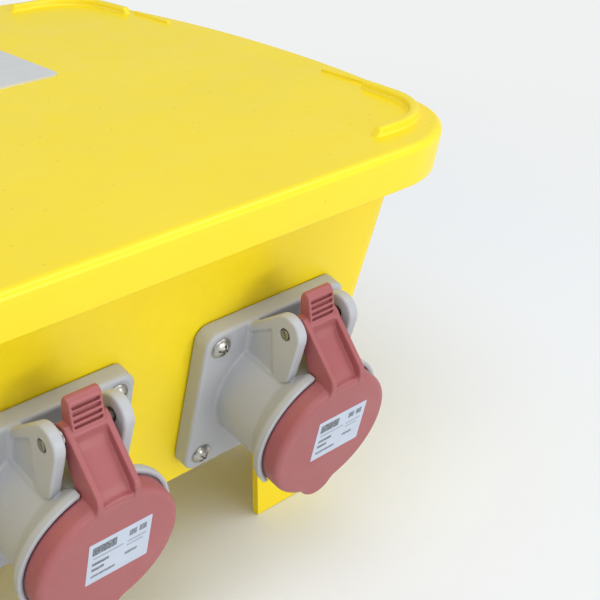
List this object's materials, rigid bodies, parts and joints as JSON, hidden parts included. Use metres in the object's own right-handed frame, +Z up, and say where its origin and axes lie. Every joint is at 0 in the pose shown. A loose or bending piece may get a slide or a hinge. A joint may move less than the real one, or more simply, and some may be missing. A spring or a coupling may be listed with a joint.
{
  "type": "portable power distribution box",
  "caption": "Low moulded power distribution box on corner feet with an overhanging lid, flanged outlets with flip caps in front, a breaker window at the back and a plug-ended supply lead.",
  "frame": {"origin": "on the floor, under the middle of the whole object with its lead and plug; the middle of the tub stands at x 21.54 mm, y -8.43 mm", "axes": "+Z up, +X along the box, the outlets face -Y and the breaker window faces +Y"},
  "size_m": [0.5104, 0.391, 0.1905],
  "materials": {
    "body_yellow": "satin moulded plastic, fine grain",
    "housing_grey": "smooth moulded plastic",
    "cap_red": "matte moulded plastic",
    "seal_rubber": "matte",
    "insert_black": "matte moulded plastic",
    "steel": "bright zinc plate",
    "label_white": "printed film on a thin plate",
    "frame_dark": "matte moulded plastic",
    "window_clear": "clear moulded plastic",
    "breaker_grey": "smooth moulded plastic",
    "lever_dark": "smooth moulded plastic",
    "button_amber": "smooth moulded plastic",
    "gland_black": "matte moulded plastic",
    "plug_red": "matte moulded plastic",
    "cable_rubber": "matte"
  },
  "bodies": {
    "box": {"body_tub": "body_yellow", "lid": "body_yellow", "lid_seal": "seal_rubber", "rating_plate": "label_white", "lid_screw_1": "steel", "lid_screw_2": "steel", "lid_screw_3": "steel", "lid_screw_4": "steel", "outlet_housing_left": "housing_grey", "flange_gasket_left": "seal_rubber", "contact_insert_left": "insert_black", "cap_hinge_pin_left": "steel", "cap_spring_left": "steel", "flange_screw_left_1": "steel", "flange_screw_left_2": "steel", "flange_screw_left_3": "steel", "flange_screw_left_4": "steel", "outlet_housing_middle": "housing_grey", "flange_gasket_middle": "seal_rubber", "contact_insert_middle": "insert_black", "cap_hinge_pin_middle": "steel", "cap_spring_middle": "steel", "flange_screw_middle_1": "steel", "flange_screw_middle_2": "steel", "flange_screw_middle_3": "steel", "flange_screw_middle_4": "steel", "outlet_housing_right": "housing_grey", "flange_gasket_right": "seal_rubber", "contact_insert_right": "insert_black", "cap_hinge_pin_right": "steel", "cap_spring_right": "steel", "flange_screw_right_1": "steel", "flange_screw_right_2": "steel", "flange_screw_right_3": "steel", "flange_screw_right_4": "steel", "window_frame": "frame_dark", "window_hinge_pin": "steel", "din_rail": "steel", "rail_bracket_left": "steel", "rail_bracket_right": "steel", "rcd_body": "breaker_grey", "breaker_1_body": "breaker_grey", "breaker_2_body": "breaker_grey", "breaker_3_body": "breaker_grey", "gland_body": "gland_black", "gland_nut": "gland_black", "supply_lead": "cable_rubber", "supply_plug": "plug_red"},
    "cap_left": {"cap_left": "cap_red", "cap_seal_left": "seal_rubber"},
    "cap_middle": {"cap_middle": "cap_red", "cap_seal_middle": "seal_rubber"},
    "cap_right": {"cap_right": "cap_red", "cap_seal_right": "seal_rubber"},
    "window_flap": {"window_flap": "window_clear"},
    "rcd_lever": {"rcd_lever": "lever_dark"},
    "rcd_test_button": {"rcd_test_button": "button_amber"},
    "breaker_1_lever": {"breaker_1_lever": "lever_dark"},
    "breaker_2_lever": {"breaker_2_lever": "lever_dark"},
    "breaker_3_lever": {"breaker_3_lever": "lever_dark"}
  },
  "joints": [
    {"name": "cap_left_hinge", "type": "hinge", "parent": "box", "child": "cap_left", "pos_m": [-0.08876, -0.17567, 0.13153], "axis": [-1, 0, 0], "range_deg": [0, 110], "stiffness_Nm_per_rad": 0.05, "springref_deg": -17.19},
    {"name": "cap_middle_hinge", "type": "hinge", "parent": "box", "child": "cap_middle", "pos_m": [0.02154, -0.17567, 0.13153], "axis": [-1, 0, 0], "range_deg": [0, 110], "stiffness_Nm_per_rad": 0.05, "springref_deg": -17.19},
    {"name": "cap_right_hinge", "type": "hinge", "parent": "box", "child": "cap_right", "pos_m": [0.13184, -0.17567, 0.13153], "axis": [-1, 0, 0], "range_deg": [0, 110], "stiffness_Nm_per_rad": 0.05, "springref_deg": -17.19},
    {"name": "window_flap_hinge", "type": "hinge", "parent": "box", "child": "window_flap", "pos_m": [0.02154, 0.13897, 0.12526], "axis": [1, 0, 0], "range_deg": [0, 95]},
    {"name": "rcd_lever_rock", "type": "hinge", "parent": "box", "child": "rcd_lever", "pos_m": [-0.04181, 0.10946, 0.09784], "axis": [-1, 0, 0], "range_deg": [0, 66]},
    {"name": "breaker_1_lever_rock", "type": "hinge", "parent": "box", "child": "breaker_1_lever", "pos_m": [0.00374, 0.10946, 0.09784], "axis": [-1, 0, 0], "range_deg": [0, 66]},
    {"name": "breaker_2_lever_rock", "type": "hinge", "parent": "box", "child": "breaker_2_lever", "pos_m": [0.05654, 0.10946, 0.09784], "axis": [-1, 0, 0], "range_deg": [0, 66]},
    {"name": "breaker_3_lever_rock", "type": "hinge", "parent": "box", "child": "breaker_3_lever", "pos_m": [0.10934, 0.10946, 0.09784], "axis": [-1, 0, 0], "range_deg": [0, 66]},
    {"name": "rcd_test_button_press", "type": "slide", "parent": "box", "child": "rcd_test_button", "axis": [0, -0.9673, 0.2535], "range_m": [0, 0.002], "stiffness_N_per_m": 800}
  ]
}
